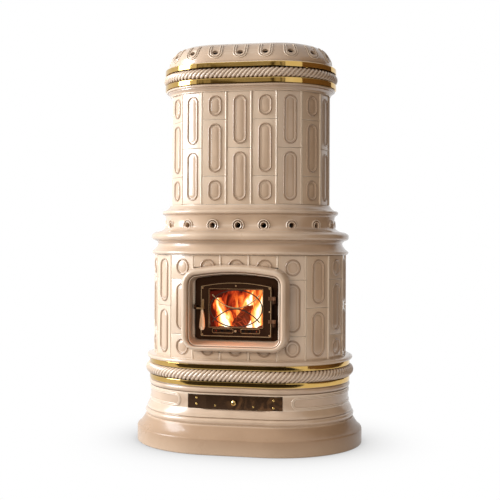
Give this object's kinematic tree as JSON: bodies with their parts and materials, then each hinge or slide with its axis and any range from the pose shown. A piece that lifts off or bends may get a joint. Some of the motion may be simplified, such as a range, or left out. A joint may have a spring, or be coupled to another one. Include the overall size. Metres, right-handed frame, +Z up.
{
  "type": "tiled stove",
  "caption": "Tall ceramic-tiled wood stove on a stadium plan, with rope mouldings, brass bands, a glazed fire door and an ash drawer.",
  "frame": {"origin": "centre of the base, on the floor", "axes": "+Z up, -Y the front with the fire door, +X to the right as seen from the front"},
  "size_m": [1.09, 0.832, 1.906],
  "materials": {
    "glazed_ceramic": "glossy glaze",
    "brass": "polished",
    "cast_iron": "satin black",
    "bronze": "glossy dark bronze",
    "steel": "blackened",
    "grip_metal": "polished copper brown",
    "fireclay": "rough",
    "glass": "clear",
    "seal": "woven cord"
  },
  "bodies": {
    "stove": {"ash_chute": "steel", "baffle": "fireclay", "base_cap": "glazed_ceramic", "base_frieze": "glazed_ceramic", "base_plate": "steel", "base_torus": "glazed_ceramic", "brass_bands": "brass", "dome_cap": "glazed_ceramic", "door_frame": "cast_iron", "door_surround": "glazed_ceramic", "firebox_shell": "steel", "flue_collar": "steel", "flue_rosette": "steel", "grate": "cast_iron", "hearth_slab": "fireclay", "hinge_pins": "steel", "latch_keeper": "cast_iron", "levelling_feet": "steel", "lining_bricks": "fireclay", "log_retainer": "cast_iron", "lower_cornice": "glazed_ceramic", "lower_middle_tiles": "glazed_ceramic", "lower_side_tiles": "glazed_ceramic", "pan_runners": "steel", "plinth": "glazed_ceramic", "posts": "steel", "riser": "steel", "rope_rings": "glazed_ceramic", "shell_brackets": "steel", "smoke_chamber": "steel", "surround_arch": "glazed_ceramic", "tie_plate": "steel", "tile_seat": "glazed_ceramic", "top_moulding": "glazed_ceramic", "upper_middle_tiles": "glazed_ceramic", "upper_side_tiles": "glazed_ceramic", "vent_cornice": "glazed_ceramic"},
    "fire_door": {"door_leaf": "cast_iron", "door_hinges": "cast_iron", "door_seal": "seal", "glass_seal": "seal", "door_glass": "glass", "tracery": "cast_iron", "trim_beads": "brass", "door_screws": "steel"},
    "door_handle": {"handle_lever": "steel", "door_grip": "grip_metal"},
    "air_slider": {"register_plate": "steel", "register_knob": "steel"},
    "ash_drawer": {"drawer_front": "bronze", "drawer_knob": "bronze", "ash_pan": "steel"}
  },
  "joints": [
    {"name": "fire_door_hinge", "type": "hinge", "parent": "stove", "child": "fire_door", "pos_m": [0.176, -0.33, 0.65], "axis": [0, 0, 1], "range_deg": [0, 105]},
    {"name": "handle_turn", "type": "hinge", "parent": "fire_door", "child": "door_handle", "pos_m": [-0.1525, -0.336, 0.689], "axis": [0, -1, 0], "range_deg": [0, 60]},
    {"name": "air_slide", "type": "slide", "parent": "fire_door", "child": "air_slider", "axis": [1, 0, 0], "range_m": [0, 0.0145]},
    {"name": "drawer_slide", "type": "slide", "parent": "stove", "child": "ash_drawer", "axis": [0, -1, 0], "range_m": [0, 0.28]}
  ]
}
